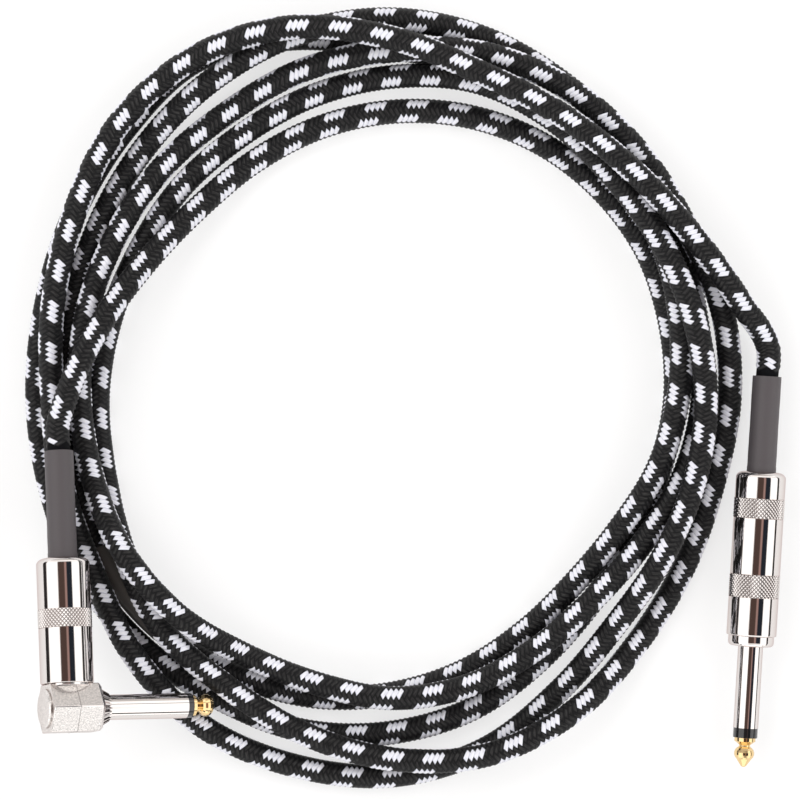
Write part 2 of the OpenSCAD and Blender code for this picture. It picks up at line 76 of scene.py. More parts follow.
# One list a turn, and one [radius, layers up] every 15 degrees anticlockwise from +X
TURNS = [
    [[91.5, 1.4], [85.5, 2.15], [83, 2.4], [83, 2.1], [85, 1.9], [90.5, 2.1],
     [96.5, 2.1], [99.5, 1.3], [98, 1], [93, 1], [89, 1], [86, 1],
     [86.4, 1], [87.6, 1], [92.4, 1], [96.4, 0.35], [97, 0], [96.3, 0],
     [92.5, 0], [85.8, 0.1], [80.8, 0.6], [79.2, 1.55], [79.2, 1.65]],
    [[79.3, 1.5], [78.6, 1.95], [78.4, 1.85], [79, 1.55], [81.5, 1], [83, 0.85],
     [81.8, 0.2], [79.6, 0], [77.2, 0], [76, 0], [74.6, 0], [74.5, 0],
     [75, 0], [75.8, 0], [78.4, 0.82], [82.5, 1.12], [84.2, 1], [87.8, 1],
     [91.5, 0.9], [93.5, 1.05], [91.8, 0.95], [88.4, 0], [86, 0], [84.8, 0]],
    [[86.1, 0], [86.8, 0.6], [86.2, 0.95], [88.2, 1], [90.2, 1], [90.3, 1],
     [88, 1], [86.3, 0.6], [84, 0], [82.8, 0.25], [81.3, 0.6], [80.3, 0.8],
     [79.2, 0.8], [78.5, 1], [78, 1.88], [76.8, 1.87], [75.1, 0.72], [74.8, 0.9],
     [76, 1.05], [75.4, 0.9], [73.3, 0.9], [72.1, 1.05], [73.4, 0.95], [76.6, 0.7]],
    [[79.2, 0], [80.3, 0], [83.5, 0], [87.8, 0], [91, 0], [94.6, 0],
     [96, 0.75], [95.2, 1.05], [92.6, 0.75], [89.7, 0], [86.7, 0], [84.6, 0],
     [83.6, 0], [83.3, 0.07], [84, 0.07], [83.1, 0.07], [81, 0.07], [78.7, 0],
     [75.4, 0], [71.9, 0], [68.3, 0], [66, 0.4], [66.5, 0.8], [69.6, 1]],
    [[72.5, 1], [75.6, 1], [78.8, 0.85], [81, 0.6], [82.6, 0], [87.5, 0],
     [89.2, 0], [94.9, 0], [99.4, 0], [96.6, 0], [93.7, 0], [91.4, 0],
     [90.5, 0], [90.2, 0], [90.8, 0], [89.9, 0], [88.4, 0], [87.8, 0],
     [85.3, 0], [81.7, 0], [76.5, 0], [72.6, 0], [71, 0], [70.7, 0]],
    [[72.2, 0], [73.4, 0], [74.9, 0], [75.3, 0], [75.2, 0], [74.4, 0],
     [73, 0], [71.4, 0], [69.8, 0], [69, 0.4], [70.9, 0.9], [75.4, 1.65], [82, 2]],
]


def rotation(degrees, axis):
    return Matrix.Rotation(math.radians(degrees), 4, axis)


def straight_plug():
    """Plug frame: z = 0 at the shoulder of the shaft, +z towards the tip."""
    return Matrix.Translation(STRAIGHT_AT) @ rotation(STRAIGHT_HEADING, "Z") @ rotation(90, "Y")


def elbow():
    """Elbow frame: +x along the shaft, +y back along the barrel, +z up to the block's ridge."""
    return (Matrix.Translation(ELBOW_AT) @ rotation(ELBOW_TURN, "Z")
            @ rotation(-ELBOW_FALL, "X") @ rotation(SHAFT_DIP, "Y"))


def angle_barrel_frame():
    """The right-angle plug's frame, with -z back along its barrel."""
    return elbow() @ rotation(90, "X")


def back_axis(plug):
    """Unit vector from a plug back along its cord."""
    return -np.array(plug.to_3x3() @ Vector((0, 0, 1)))


def route_points():
    """The points that the cord's centreline passes, from the straight plug's end."""
    points = []
    straight_back = back_axis(straight_plug())
    mouth = np.array(STRAIGHT_AT) + STRAIGHT_REACH * straight_back
    points += [mouth, mouth + CORD_D * straight_back]
    station = 0
    for turn in TURNS:
        for radius, layers in turn:
            station += 1
            a = math.radians(STATION * station)
            points.append(np.array([COIL_AT[0] + radius * math.cos(a),
                                    COIL_AT[1] + radius * math.sin(a),
                                    BED_Z + LAYER * layers]))
    angle_back = back_axis(angle_barrel_frame())
    mouth = np.array(ELBOW_AT) + ANGLE_REACH * angle_back
    points += [mouth + CORD_D * angle_back, mouth]
    return np.array(points)


STEPS = 24              # from one point of the route to the next
OFF_FLOOR = 0.02        # nothing on the cord lies lower than this


def smoothed(p, steps=STEPS):
    """A curve through every point, with tangents weighted by the chords."""
    out, last = [p[0]], len(p) - 1
    for i in range(last):
        here, there = p[i], p[i + 1]
        d = np.linalg.norm(there - here)
        way = (there - here) / d
        start = end = way
        if i > 0:
            d0 = np.linalg.norm(here - p[i - 1])
            start = ((here - p[i - 1]) / d0 * d + way * d0) / (d0 + d)
        if i < last - 1:
            d2 = np.linalg.norm(p[i + 2] - there)
            end = (way * d2 + (p[i + 2] - there) / d2 * d) / (d + d2)
        for k in range(1, steps + 1):
            u = k / steps
            out.append((2 * u**3 - 3 * u**2 + 1) * here + (u**3 - 2 * u**2 + u) * d * start
                       + (3 * u**2 - 2 * u**3) * there + (u**3 - u**2) * d * end)
    return np.array(out)


class Line:
    """The cord's centreline, read by the distance along it."""

    def __init__(self, points):
        self.points = points
        steps = np.linalg.norm(np.diff(points, axis=0), axis=1)
        self.s = np.concatenate([[0], np.cumsum(steps)])
        self.length = self.s[-1]
        ways = np.gradient(points, self.s, axis=0)
        self.ways = ways / np.linalg.norm(ways, axis=1)[:, None]

    def at(self, s):
        return np.stack([np.interp(s, self.s, self.points[:, k]) for k in range(3)], -1)

    def frames(self, s):
        """Centre, up and left at each distance. Left is square to the way, in plan."""
        way = np.stack([np.interp(s, self.s, self.ways[:, k]) for k in range(3)], -1)
        way /= np.linalg.norm(way, axis=-1, keepdims=True)
        left = np.cross([0, 0, 1.0], way)
        left /= np.linalg.norm(left, axis=-1, keepdims=True)
        return self.at(s), np.cross(way, left), left

    def wrap(self, s, angle, radius):
        """Points on the cord at distance s, angle from straight up towards the left."""
        centre, up, left = self.frames(s)
        out = centre + radius[..., None] * (np.cos(angle)[..., None] * up
                                            + np.sin(angle)[..., None] * left)
        out[..., 2] = np.maximum(out[..., 2], OFF_FLOOR)
        return out


route = route_points()
line = Line(smoothed(route))

# ---------------------------------------------------------------- materials


def material(name, colour, metallic=0.0, roughness=0.5, specular=0.5, coat=0.0, edge=None):
    """A new material, its node tree and its shader."""
    m = bpy.data.materials.new(name)
    m.use_nodes = True
    shader = m.node_tree.nodes["Principled BSDF"]
    shader.inputs["Base Color"].default_value = (*colour, 1)
    shader.inputs["Metallic"].default_value = metallic
    shader.inputs["Roughness"].default_value = roughness
    shader.inputs["Specular IOR Level"].default_value = specular
    shader.inputs["Coat Weight"].default_value = coat
    if edge:
        shader.inputs["Specular Tint"].default_value = (*edge, 1)
    return m, m.node_tree, shader


def maths(tree, operation, a, b=None):
    node = tree.nodes.new("ShaderNodeMath")
    node.operation = operation
    for socket, value in zip(node.inputs, (a, b)):
        if value is None:
            continue
        if isinstance(value, (int, float)):
            socket.default_value = value
        else:
            tree.links.new(value, socket)
    return node.outputs[0]


def step(tree, value, low, high):
    """0 below low, 1 above high, smooth between."""
    node = tree.nodes.new("ShaderNodeMapRange")
    node.interpolation_type = "SMOOTHSTEP"
    tree.links.new(value, node.inputs["Value"])
    node.inputs["From Min"].default_value = low
    node.inputs["From Max"].default_value = high
    return node.outputs["Result"]


def bump(tree, shader, height, strength, distance):
    node = tree.nodes.new("ShaderNodeBump")
    node.inputs["Strength"].default_value = strength
    node.inputs["Distance"].default_value = distance
    tree.links.new(height, node.inputs["Height"])
    tree.links.new(node.outputs["Normal"], shader.inputs["Normal"])


def noise(tree, coordinates, scale, detail=2.0):
    node = tree.nodes.new("ShaderNodeTexNoise")
    node.inputs["Scale"].default_value = scale
    node.inputs["Detail"].default_value = detail
    tree.links.new(coordinates, node.inputs["Vector"])
    return node.outputs["Fac"]


def object_coordinates(tree):
    return tree.nodes.new("ShaderNodeTexCoord").outputs["Object"]


def ramp(tree, factor, stops):
    """A colour ramp from [position, colour] pairs."""
    node = tree.nodes.new("ShaderNodeValToRGB")
    elements = node.color_ramp.elements
    while len(elements) < len(stops):
        elements.new(0.5)
    for element, (position, colour) in zip(elements, stops):
        element.position = position
        element.color = (*colour, 1)
    tree.links.new(factor, node.inputs["Fac"])
    return node.outputs["Color"]


def own_map(tree):
    """The mesh's own map, as its two numbers."""
    node = tree.nodes.new("ShaderNodeUVMap")
    node.uv_map = "UVMap"
    split = tree.nodes.new("ShaderNodeSeparateXYZ")
    tree.links.new(node.outputs["UV"], split.inputs[0])
    return node.outputs["UV"], split.outputs[0], split.outputs[1]


def yarn(name, dip_painted_shade, side, crest_painted_highlight, roughness, specular, flat=2.5):
    """A flat yarn: fine filaments along it, with painted shade where it dips between its
    neighbours and a painted highlight, broken up by grain, along its middle.

    The mesh's map runs across the yarn from 0 to 1, and along it by 1 a stitch."""
    m, tree, shader = material(name, side, roughness=roughness, specular=specular)
    uv, across, along = own_map(tree)
    stretch = tree.nodes.new("ShaderNodeMapping")
    stretch.inputs["Scale"].default_value = (9, 1.3, 1)
    tree.links.new(uv, stretch.inputs["Vector"])
    grain = noise(tree, stretch.outputs["Vector"], 1.0, 3.0)

    def from_middle(share):
        doubled = maths(tree, "MULTIPLY", share, 2)
        return maths(tree, "ABSOLUTE", maths(tree, "SUBTRACT", doubled, 1))

    at_sides = maths(tree, "POWER", from_middle(across), flat)
    at_ends = maths(tree, "POWER", from_middle(maths(tree, "FRACT", along)), 5)
    # The height, 1 along the yarn's middle and 0 at its sides and ends, masks its painted shade
    # and painted highlight.
    height = maths(tree, "SUBTRACT", 1, maths(tree, "MAXIMUM", at_sides, at_ends))
    grain_up = maths(tree, "MULTIPLY", maths(tree, "SUBTRACT", grain, 0.25), 3)
    painted_light_with_grain = maths(tree, "MULTIPLY", height, maths(tree, "MAXIMUM", grain_up, 0))
    # Painted shade in the dips, the yarn's own colour between, and a painted highlight along its
    # middle, broken up by the grain.
    colour = ramp(tree, painted_light_with_grain, [(0, dip_painted_shade), (0.45, side), (1, crest_painted_highlight)])
    tree.links.new(colour, shader.inputs["Base Color"])
    bump(tree, shader, grain, 0.6, 0.00015)
    return m


def grained(name, colour, scale, strength, distance, spread=0.0, **kw):
    """Even material with a fine grain in its normal, and a spread of tone if it is given."""
    m, tree, shader = material(name, colour, **kw)
    grain = noise(tree, object_coordinates(tree), scale)
    bump(tree, shader, grain, strength, distance)
    if spread:
        low = [c * (1 - spread) for c in colour]
        tone = ramp(tree, grain, [(0.3, low), (0.7, colour)])
        tree.links.new(tone, shader.inputs["Base Color"])
    return m


def knurled_metal(name, colour, groove_painted_shade, **kw):
    """Plated metal, with painted shade in the grooves of its knurling. The map holds the depth, 0
    to 1.
    """
    m, tree, shader = material(name, colour, **kw)
    _, depth, _ = own_map(tree)
    # Deep in the knurling the colour darkens to painted shade.
    tone = ramp(tree, depth, [(0.45, colour), (0.95, groove_painted_shade)])
    tree.links.new(tone, shader.inputs["Base Color"])
    bump(tree, shader, noise(tree, object_coordinates(tree), 60), 0.02, 0.0004)
    return m


# Each yarn's three colours: painted shade where it dips, its own colour, and a painted highlight
# along its middle.
WHITE_YARN = yarn("white_yarn", (0.42, 0.43, 0.51), (0.7, 0.71, 0.78), (0.8, 0.8, 0.84), 0.6, 0.3,
                  flat=6)
BLACK_YARN = yarn("black_yarn", (0.002, 0.002, 0.003), (0.006, 0.006, 0.0065),
                  (0.036, 0.035, 0.035), 0.5, 0.2)
JACKET = grained("jacket", (0.004, 0.004, 0.005), 900, 0.2, 0.0001, roughness=0.8, specular=0.1)
MARKER = grained("marker", (0.085, 0.078, 0.072), 500, 0.15, 0.0001, roughness=0.38, specular=0.3)
SHRINK = grained("heat_shrink", (0.075, 0.066, 0.07), 1800, 0.25, 0.00008, roughness=0.55)
PLATE = dict(metallic=1.0, roughness=0.07, edge=(0.78, 0.7, 0.69))
NICKEL_TONE = (0.76, 0.72, 0.7)
NICKEL = grained("nickel", NICKEL_TONE, 60, 0.02, 0.0004, **PLATE)
# The darker colour is painted shade for the grooves of the knurling.
KNURLED = knurled_metal("knurled_nickel", NICKEL_TONE, (0.3, 0.27, 0.26), **PLATE)
CAST = grained("cast_nickel", (0.94, 0.905, 0.88), 2300, 0.5, 0.00003, spread=0.22, metallic=1.0,
               roughness=0.27, edge=(0.72, 0.68, 0.67))
# A dark metal that paints the shade along the mould's parting line.
SEAM_PAINTED_SHADE = grained("mould_seam_painted_shade", (0.3, 0.28, 0.27), 900, 0.3, 0.0001, metallic=1.0, roughness=0.4)
GOLD = grained("gold", (0.84, 0.62, 0.32), 120, 0.03, 0.0002, metallic=1.0, roughness=0.1)
RING = grained("black_ring", (0.008, 0.008, 0.009), 300, 0.03, 0.0001, roughness=0.1, coat=0.6)
LINER = grained("liner", (0.7, 0.72, 0.74), 200, 0.03, 0.0001, roughness=0.15)
FIBRE = grained("fibre", (0.3, 0.16, 0.08), 1500, 0.3, 0.0001, roughness=0.8)
TAG = grained("tag", (0.72, 0.68, 0.6), 700, 0.1, 0.0001, metallic=1.0, roughness=0.3)
CORE = grained("core", (0.82, 0.81, 0.77), 400, 0.05, 0.0001, roughness=0.4)
COPPER = grained("copper", (0.75, 0.38, 0.22), 900, 0.4, 0.0001, metallic=1.0, roughness=0.3)
SOLDER = grained("solder", (0.62, 0.63, 0.66), 300, 0.3, 0.0002, metallic=1.0, roughness=0.22)

# The first word that a solid's name holds chooses its material
BY_WORD = [("heat_shrink", SHRINK), ("liner", LINER), ("insulator_ring", RING), ("solder", SOLDER),
           ("rear_insulator", FIBRE), ("ground_tag", TAG), ("tip_tag", TAG), ("jacket", JACKET),
           ("core_wire", CORE), ("pigtail", COPPER), ("elbow", CAST), ("rear_cap", CAST),
           ("tip", GOLD), ("marker", MARKER), ("coil", JACKET)]
for name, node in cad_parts.items():
    chosen = next((m for word, m in BY_WORD if word in name), NICKEL)
    node.data.materials.clear()
    node.data.materials.append(chosen)

# ---------------------------------------------------------------- meshes


def piece(name, points, faces, mat, body=ROOT, uv=None, sharp=40):
    """A mesh from points in millimetres, riding on a body.

    Edges past the sharp angle stay sharp."""
    mesh = bpy.data.meshes.new(name)
    mesh.from_pydata((np.asarray(points) * MM).tolist(), [], np.asarray(faces).tolist()
                     if isinstance(faces, np.ndarray) else faces)
    if uv is not None:
        layer = mesh.uv_layers.new(name="UVMap")
        loops = np.zeros(len(mesh.loops), np.int32)
        mesh.loops.foreach_get("vertex_index", loops)
        layer.data.foreach_set("uv", np.asarray(uv, np.float32)[loops].ravel())
    mesh.materials.append(mat)
    mesh.shade_smooth()
    if sharp:
        mesh.set_sharp_from_angle(angle=math.radians(sharp))
    mesh.update()
    obj = bpy.data.objects.new(name, mesh)
    scene.collection.objects.link(obj)
    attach(obj, body)
    return obj


def grid_faces(rows, cols, wrap=True, start=0):
    """Quads over a grid of points, row by row, closed round the columns if wrap."""
    i = np.arange(rows - 1)[:, None] * cols
    j = np.arange(cols if wrap else cols - 1)[None]
    k = (j + 1) % cols
    return (start + np.stack([i + j, i + k, i + cols + k, i + cols + j], -1)).reshape(-1, 4)


def turned(name, at, radii, z, mat, body=ROOT, slot=None, sharp=30, knurled=(), depth=None):
    """A shell turned about a plug's axis: one radius for each row and column, and z for each row.

    The rows close on themselves, so they run round the whole section. Where a row is knurled,
    its quads are split along the grooves, which cross at every fourth column."""
    rows, cols = radii.shape
    angle = np.arange(cols) / cols * 2 * math.pi
    points = np.stack([radii * np.cos(angle), radii * np.sin(angle),
                       np.broadcast_to(z[:, None], radii.shape)], -1).reshape(-1, 3)
    turn = np.array(at.to_3x3())
    points = points @ turn.T + np.array(at.translation)
    faces = []
    for i in range(rows):
        up = (i + 1) % rows
        for j in range(cols):
            a, b = i * cols + j, i * cols + (j + 1) % cols
            c, d = up * cols + (j + 1) % cols, up * cols + j
            k = knurled[i] if i < len(knurled) else None
            if k is None:
                faces.append((a, b, c, d))
            elif (j - k) % 4 == 0:
                faces += [(a, b, c), (a, c, d)]
            else:
                faces += [(a, b, d), (b, c, d)]
    uv = None
    if depth is not None:
        round_it = np.broadcast_to(angle / (2 * math.pi), depth.shape)
        uv = np.stack([depth, round_it], -1).reshape(-1, 2)
    return piece(name, points, faces, mat, body=body, sharp=sharp, uv=uv)


def turned_plain(name, at, profile, mat, sides=96, **kw):
    """A closed section of [radius, z], turned."""
    profile = np.array(profile, float)
    return turned(name, at, np.repeat(profile[:, :1], sides, 1), profile[:, 1], mat, **kw)


# ---------------------------------------------------------------- barrels

SHRINK_R = 3.65
BARREL_WALL = 1.0
SHOULDER_W, SHOULDER_DROP = 2.2, 1.6    # the rounding at the barrel's back
BACK_WALL = 3.2
CORD_ROOM = 0.4         # between the heat-shrink and the barrel's mouth
KNURL_UP, KNURL_DOWN = 0.12, 0.12       # the diamonds' tips and grooves, from the barrel's side
KNURL_STEP = 0.26       # a quarter of a diamond, along the barrel
KNURL_EDGE = 0.1        # from a band's edge to the first row of its diamonds


def barrel(name, at, r, front, length, bands, diamonds, body):
    """Round-backed barrel with diamond-knurled bands, hollow as the real one is.

    Each band is [near, far], measured back from the plug's zero. There are so many diamonds
    round it, each four columns wide."""
    cols = 4 * diamonds
    back = -front - length
    bore = r - BARREL_WALL
    hole = SHRINK_R + CORD_ROOM
    radii, z, knurled, depth = [], [], [], []

    def row(radius, at_z, k=None, deep=None):
        radii.append(np.full(cols, radius) if np.isscalar(radius) else radius)
        z.append(at_z)
        knurled.append(k)
        depth.append(np.zeros(cols) if deep is None else deep)

    row(hole, back + 0.15)
    row(hole + 0.1, back)
    for a in np.radians(np.linspace(90, 0, 14)):
        row(r - SHOULDER_W + SHOULDER_W * math.cos(a), back + SHOULDER_DROP * (1 - math.sin(a)))
    row(r, back + SHOULDER_DROP + 0.3)
    column = np.arange(cols)
    for near, far in bands:
        row(r, -far - 0.02)
        row(r - KNURL_DOWN, -far + KNURL_EDGE)
        knurl_length = far - near - 2 * KNURL_EDGE
        steps = int(round(knurl_length / KNURL_STEP))
        for k in range(steps + 1):
            share = np.minimum(np.abs((column + k + 2) % 4 - 2), np.abs((column - k + 2) % 4 - 2))
            high = 1 - (1 - share / 2) ** 1.3
            # 1 - high is the depth, which the knurled metal turns into painted shade in the
            # grooves.
            row(r - KNURL_DOWN + (KNURL_UP + KNURL_DOWN) * high,
                -far + KNURL_EDGE + knurl_length * k / steps,
                k if k < steps else None, 1 - high)
        row(r - KNURL_DOWN, -near - 0.09)
        row(r, -near + 0.02)
    row(r, -front - 0.6)
    row(r, -front - 0.35)
    row(r - 0.1, -front - 0.12)
    row(r - 0.3, -front)
    row(bore + 0.15, -front)
    row(bore, -front - 0.2)
    row(bore, back + BACK_WALL + 0.8)
    row(hole, back + BACK_WALL)
    return turned(name, at, np.array(radii), np.array(z), KNURLED, body=body, slot="nickel",
                  sharp=24, knurled=knurled, depth=np.array(depth))


# Each barrel's front, measured back from its plug's zero, its length and its radius
STRAIGHT_FRONT, STRAIGHT_LEN, STRAIGHT_R = 2.65, 41.7, 6.35
ANGLE_FRONT, ANGLE_LEN, ANGLE_R = 6.05, 31.5, 6.7
straight_barrel = barrel("straight_barrel_knurled", straight_plug(), STRAIGHT_R, STRAIGHT_FRONT,
                         STRAIGHT_LEN, [(32.5, 37.6), (12.4, 18.3)], 40, "straight_screw_barrel")
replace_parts(straight_barrel, "straight_barrel")
angle_barrel = barrel("angle_barrel_knurled", angle_barrel_frame(), ANGLE_R, ANGLE_FRONT,
                      ANGLE_LEN, [(19.9, 24.6)], 44, "angle_screw_barrel")
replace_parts(angle_barrel, "angle_barrel")

# ---------------------------------------------------------------- the elbow's casting

BLOCK_FLAT = 6.0        # from the block's axis to its flats
BLOCK_BACK, BLOCK_FRONT = -5.8, 8.0
STUB_R = 5.6            # the stub that the barrel screws on
EDGE_ROUND = 0.3
FLAT_FACE = 15          # the block's flat faces are larger than this, in square millimetres
SEAM_AT, SEAM_W, SEAM_UP = 1.1, 0.2, 0.06
HEX = math.radians(30)


def elbow_casting():
    """The elbow with the edges of its six-sided block and its stub rounded over."""
    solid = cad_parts["angle_elbow"]
    mesh = bmesh.new()
    mesh.from_mesh(solid.data)
    bmesh.ops.transform(mesh, matrix=solid.matrix_world, verts=mesh.verts)
    bmesh.ops.remove_doubles(mesh, verts=mesh.verts, dist=0.001 * MM)
    bmesh.ops.dissolve_limit(mesh, angle_limit=math.radians(0.5), verts=mesh.verts,
                             edges=mesh.edges)
    into = elbow().inverted()

    def outside(vert):
        x, y, z = into @ (vert.co / MM)
        flat = max(abs(y), abs(0.5 * y + 0.866 * z), abs(0.5 * y - 0.866 * z))
        return flat > BLOCK_FLAT - 1 and BLOCK_BACK - 0.05 < x < BLOCK_FRONT + 0.05

    edges = [e for e in mesh.edges if len(e.link_faces) == 2
             and e.calc_face_angle() > math.radians(20) and all(map(outside, e.verts))]
    bmesh.ops.bevel(mesh, geom=edges, offset=EDGE_ROUND * MM, offset_type="OFFSET", segments=3,
                    profile=0.5, affect="EDGES", clamp_overlap=True, material=1)
    for face in mesh.faces:
        face.smooth = face.calc_area() < FLAT_FACE * MM * MM
    bmesh.ops.triangulate(mesh, faces=mesh.faces)
    # rounding the edges leaves everything in another order on each run, so it is sorted
    verts = sorted(mesh.verts, key=lambda vert: tuple(vert.co))
    for index, vert in enumerate(verts):
        vert.index = index
    points = [tuple(vert.co / MM) for vert in verts]
    rows = []
    for face in mesh.faces:
        corners = [vert.index for vert in face.verts]
        first = corners.index(min(corners))
        rows.append((corners[first:] + corners[:first], face.material_index, face.smooth))
    faces, rounded, smooth = zip(*sorted(rows))
    mesh.free()
    casting = piece("elbow_casting", points, faces, CAST, sharp=35)
    casting.data.materials.append(NICKEL)
    casting.data.polygons.foreach_set("material_index", rounded)
    casting.data.polygons.foreach_set("use_smooth", smooth)
    return casting


def mould_seam_painted_shade():
    """The mould's parting line, a low rib round the block, in a dark metal that paints the shade
    along it.
    """
    low = BLOCK_FLAT / math.cos(HEX) - 0.1
    high = BLOCK_FLAT / math.cos(HEX) + SEAM_UP
    turned_plain("mould_seam_painted_shade", elbow() @ rotation(90, "Y"),
                 [[low, SEAM_AT - SEAM_W / 2], [high, SEAM_AT - SEAM_W / 4],
                  [high, SEAM_AT + SEAM_W / 4], [low, SEAM_AT + SEAM_W / 2]],
                 SEAM_PAINTED_SHADE, sides=6, slot="cast_nickel")


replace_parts(elbow_casting(), "angle_elbow")
mould_seam_painted_shade()

# ---------------------------------------------------------------- heat-shrink


def heat_shrink(name, at, mouth, shown, node):
    """Sleeve shrunk over the cord, with a square mouth and a faint step near the barrel.

    The mouth is measured back from the plug's zero. The shown length runs from it to the
    barrel, and the sleeve goes on a little inside."""
    wall, hidden = 0.45, 5
    end = -mouth + shown + hidden
    rows = [[SHRINK_R - wall, -mouth], [SHRINK_R - 0.08, -mouth], [SHRINK_R, -mouth + 0.08]]
    for k in range(1, 24):
        t = k / 24
        rows.append([SHRINK_R + 0.02 * math.sin(9 * t) + 0.012 * math.sin(31 * t),
                     -mouth + (shown - 1.4) * t])
    rows += [[SHRINK_R + 0.01, -mouth + shown - 1.4], [SHRINK_R + 0.07, -mouth + shown - 1.15],
             [SHRINK_R + 0.07, end], [SHRINK_R - wall, end]]
    sleeve = turned_plain(name, at, rows, SHRINK, sides=64, slot="heat_shrink")
    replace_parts(sleeve, node)


heat_shrink("straight_sleeve", straight_plug(), STRAIGHT_REACH, 24.3, "straight_heat_shrink")
heat_shrink("angle_sleeve", angle_barrel_frame(), ANGLE_REACH, 27, "angle_heat_shrink")

# ---------------------------------------------------------------- threads


def thread(name, at, r, z0, z1, pitch, mat):
    """A low ridge wound round the stub of radius r that a barrel screws on."""
    a = np.arange(0, (z1 - z0) / pitch, 1 / 48) * 2 * math.pi
    z = z0 + a / (2 * math.pi) * pitch
    taper = np.minimum(1, np.minimum(a, a[-1] - a) / 1.2)
    rows = [(r - 0.03, -0.36), (r + 0.085 * taper, -0.06), (r + 0.085 * taper, 0.06),
            (r - 0.03, 0.36)]
    points = np.stack([np.stack([radius * np.cos(a), radius * np.sin(a), z + dz * pitch], -1)
                       for radius, dz in rows], 1)
    points = points.reshape(-1, 3) @ np.array(at.to_3x3()).T + np.array(at.translation)
    faces = grid_faces(len(a), 4).tolist()
    faces += [[3, 2, 1, 0], [4 * len(a) - 4 + k for k in range(4)]]
    return piece(name, points, faces, mat, sharp=20)


THREAD_PITCH = 0.8
thread("straight_thread", straight_plug(), 5.25, -8.3, -3.0, THREAD_PITCH, NICKEL)
thread("angle_thread", angle_barrel_frame(), STUB_R, -11.7, -6.5, THREAD_PITCH, CAST)

# ---------------------------------------------------------------- the braid

PITCH = 10.5            # one turn of a yarn
CARRIERS = 8            # yarns each way
YARN_W = PITCH / CARRIERS
JACKET_R = 2.86         # the plain tube under the braid
ROUND_R = 3.15          # a point's distance round the cord is its angle times this
BRAID_R = 2.9           # the yarns' edges
CREST = 0.28            # how far a yarn's middle stands above its edges
LEAN = PITCH / (2 * math.pi * ROUND_R)  # along the cord, for each unit round it
FLOAT_H = 1.86          # from a stitch's middle to its tip, round the cord
WHITE_RUN = 4           # neighbouring yarns, one way, that are white
# How far the cord is turned about itself: [millimetres along it, degrees]
TWIST = [(0, -5), (160, -5), (450, 30), (600, 40), (1200, 10), (1800, 50), (2400, 25), (2900, 60)]
ANGLE_SLIDE = 14        # how far the right-angle plug's barrel slides back
OWN_STRETCH = 90        # the end of the cord that lies in that barrel
PRESSED = 0.08          # room kept to it where it slides past the loops


def pressed(points):
    """The cord's loops, pressed in a little where the slid barrel's back passes close to them."""
    at = np.array(ELBOW_AT)
    axis = back_axis(angle_barrel_frame())
    along = (points - at) @ axis
    out = points - at - along[..., None] * axis
    r = np.linalg.norm(out, axis=-1)
    end = ANGLE_FRONT + ANGLE_LEN + ANGLE_SLIDE + PRESSED
    share = np.clip((end - along) / SHOULDER_DROP, 0, 1)
    need = ANGLE_R - SHOULDER_W + SHOULDER_W * np.sqrt(1 - (1 - share) ** 2) + PRESSED
    near = (r < need) & (along < end) & (along > ANGLE_FRONT)
    return points + np.where(near, (need - r) / np.maximum(r, 0.1), 0)[..., None] * out


def on_loops(s):
    return s < line.length - OWN_STRETCH


def twist_at(s):
    at, by = zip(*TWIST)
    return np.radians(np.interp(s, at, by))


def stitch_grid(across, along):
    """Points over one stitch: (along the cord, round it, height, its map's two numbers).

    Its ends are cut to a point, and its height goes from 0 to 1."""
    v = np.linspace(-1, 1, along)
    u = np.linspace(-1, 1, across)
    tooth = YARN_W / (2 * LEAN)
    points = []
    for b in v:
        for a in u:
            # the ends are cut along the crossing yarns, so each side stops at its own place
            top = FLOAT_H - tooth * (a + 1) / 2
            low = -FLOAT_H + tooth * (1 - a) / 2
            y = (top + low) / 2 + (top - low) / 2 * b
            x = y * LEAN + 0.5 * YARN_W * a
            h = (1 - 0.85 * a * a) * (1 - 0.8 * abs(b) ** 3)
            points.append((x, y, h, (a + 1) / 2, (b + 1) / 2))
    return np.array(points)


def stitches(name, lean, start, yarns, across, along, mat):
    """Every stitch of some yarns that lean one way, 1 or -1, as one mesh.

    A yarn makes four stitches a turn, and the first lies at the start angle."""
    shape = stitch_grid(across, along)
    faces = grid_faces(along, across, wrap=False)
    turns = int(line.length / PITCH) + 2
    centres = []
    for n in range(-1, turns):
        for row in range(4):
            for j in yarns:
                s = PITCH * (n + lean * row / 4) + j * YARN_W + (0 if lean > 0 else YARN_W / 2)
                if 1.6 < s < line.length - 1.6:
                    centres.append((s, math.radians(90 * row + start)))
    centres = np.array(centres)
    s = centres[:, :1] + shape[None, :, 0] * lean
    angle = centres[:, 1:] + shape[None, :, 1] / ROUND_R + twist_at(centres[:, :1])
    points = line.wrap(s, angle, np.broadcast_to(BRAID_R + CREST * shape[:, 2], s.shape))
    points = np.where(on_loops(s)[..., None], pressed(points), points)
    count = len(centres)
    all_faces = (faces[None] + np.arange(count)[:, None, None] * len(shape)).reshape(-1, 4)
    if lean < 0:
        all_faces = all_faces[:, ::-1]
    # each stitch has its own stretch of the map, so that no two have the same filaments
    uv = np.tile(shape[:, 3:5], (count, 1, 1))
    uv[:, :, 1] = 0.01 + 0.98 * uv[:, :, 1] + np.arange(count)[:, None] % 97
    return piece(name, points.reshape(-1, 3), all_faces, mat, sharp=0,
                 uv=uv.reshape(-1, 2))


def tube_points(s, angle, radius):
    """Rings of points round the cord, one ring for each distance."""
    shape = (len(s), len(angle))
    return line.wrap(np.broadcast_to(s[:, None], shape), np.broadcast_to(angle, shape),
                     np.full(shape, radius))


